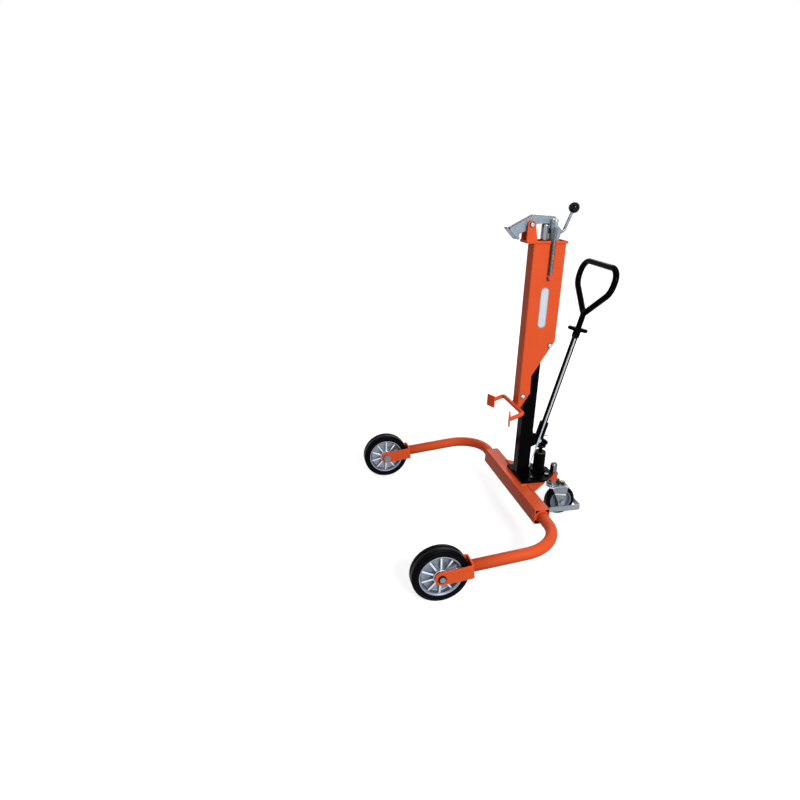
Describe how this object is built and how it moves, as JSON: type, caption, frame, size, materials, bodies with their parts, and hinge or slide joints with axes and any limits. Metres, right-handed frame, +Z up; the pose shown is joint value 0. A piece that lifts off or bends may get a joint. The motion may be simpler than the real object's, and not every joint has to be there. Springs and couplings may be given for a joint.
{
  "type": "drum truck",
  "caption": "Three-wheeled drum truck with bent legs, a hydraulic mast, a rim-gripping beak on a lifting carriage, a pump handle and a rear swivel caster.",
  "frame": {"origin": "middle of the bounding box, on the floor", "axes": "+Z up, -Y towards the drum, +X to the truck's left"},
  "size_m": [1.014, 0.844, 1.2595],
  "materials": {
    "orange": "gloss enamel",
    "black": "gloss enamel",
    "zinc": "galvanised",
    "chrome": "polished",
    "alloy": "as cast",
    "tyre": "matt",
    "yellow_zinc": "yellow passivated",
    "nylon": "matt",
    "grey_hub": "matt",
    "knob": "gloss",
    "label": "satin"
  },
  "bodies": {
    "chassis": {"cross_tube": "orange", "leg_bushes": "orange", "leg_left": "orange", "leg_right": "orange", "fork_left": "orange", "fork_right": "orange", "front_axles": "zinc", "tongue_plate": "orange", "caster_sleeve": "orange", "base_plate": "black", "base_bolts": "zinc", "caster_stem": "zinc", "cap_nut": "chrome", "mast": "black", "lift_cylinder": "zinc", "pump_body": "black", "pump_cap": "yellow_zinc", "handle_bracket": "black", "handle_pin": "zinc", "valve_body": "zinc"},
    "wheel_left": {"tyre_left": "tyre", "hub_left": "alloy", "bearings_left": "zinc"},
    "wheel_right": {"tyre_right": "tyre", "hub_right": "alloy", "bearings_right": "zinc"},
    "caster": {"caster_fork": "zinc", "caster_guard": "zinc", "swivel_lug": "yellow_zinc", "caster_axle": "zinc"},
    "caster_wheel": {"caster_tyre": "tyre", "caster_hub": "grey_hub"},
    "carriage": {"carriage_shell": "orange", "top_flange": "orange", "ears": "orange", "beak_pin": "zinc", "slide_block_upper": "nylon", "slide_block_lower": "nylon", "block_screws": "zinc", "cradle": "orange", "spring_post": "orange", "label_plate": "label", "beak_spring": "zinc"},
    "ram": {"ram": "chrome"},
    "beak": {"beak": "zinc", "tail_bolt": "zinc"},
    "latch": {"link_plates": "zinc", "lever_hub": "zinc", "lever": "chrome", "ball_knob": "knob"},
    "handle": {"handle_socket": "black", "handle_shaft": "black", "handle_loop": "black", "socket_pin": "zinc"},
    "release": {"release_collar": "black", "release_rod": "zinc"},
    "valve": {"valve_rod": "zinc"},
    "plunger": {"plunger": "chrome"}
  },
  "joints": [
    {"name": "wheel_left_spin", "type": "hinge", "parent": "chassis", "child": "wheel_left", "pos_m": [0.462, -0.322, 0.1], "axis": [1, 0, 0], "continuous": true},
    {"name": "wheel_right_spin", "type": "hinge", "parent": "chassis", "child": "wheel_right", "pos_m": [-0.462, -0.322, 0.1], "axis": [1, 0, 0], "continuous": true},
    {"name": "caster_swivel", "type": "hinge", "parent": "chassis", "child": "caster", "pos_m": [0, 0.2927, 0.1285], "axis": [0, 0, 1], "continuous": true},
    {"name": "caster_spin", "type": "hinge", "parent": "caster", "child": "caster_wheel", "pos_m": [0, 0.335, 0.0625], "axis": [1, 0, 0], "continuous": true},
    {"name": "lift", "type": "slide", "parent": "chassis", "child": "carriage", "axis": [0, 0, 1], "range_m": [-0.22, 0.05]},
    {"name": "beak_hinge", "type": "hinge", "parent": "carriage", "child": "beak", "pos_m": [0, 0.08, 1.183], "axis": [1, 0, 0], "range_deg": [-16, 0], "deforming": ["beak_spring"]},
    {"name": "ram_slide", "type": "slide", "parent": "carriage", "child": "ram", "axis": [0, 0, 1], "range_m": [-0.0215, 0]},
    {"name": "latch_hinge", "type": "hinge", "parent": "beak", "child": "latch", "pos_m": [0, 0.163, 1.197], "axis": [1, 0, 0], "range_deg": [-8, 14]},
    {"name": "handle_hinge", "type": "hinge", "parent": "chassis", "child": "handle", "pos_m": [0, 0.209, 0.345], "axis": [1, 0, 0], "range_deg": [-32, 0], "stiffness_Nm_per_rad": 14, "springref_deg": 28.65},
    {"name": "plunger_slide", "type": "slide", "parent": "chassis", "child": "plunger", "axis": [0, 0, 1], "range_m": [-0.018, 0]},
    {"name": "release_slide", "type": "slide", "parent": "handle", "child": "release", "axis": [0, 0.2385, 0.9711], "range_m": [0, 0.014]},
    {"name": "valve_slide", "type": "slide", "parent": "chassis", "child": "valve", "axis": [-0.0903, 0.2999, 0.9497], "range_m": [0, 0.014]}
  ],
  "couplings": [
    {"joint": "ram_slide", "follows": "beak_hinge", "m_per_rad": 0.075},
    {"joint": "plunger_slide", "follows": "handle_hinge", "m_per_rad": 0.03},
    {"joint": "valve_slide", "follows": "release_slide", "ratio": 0.95}
  ]
}
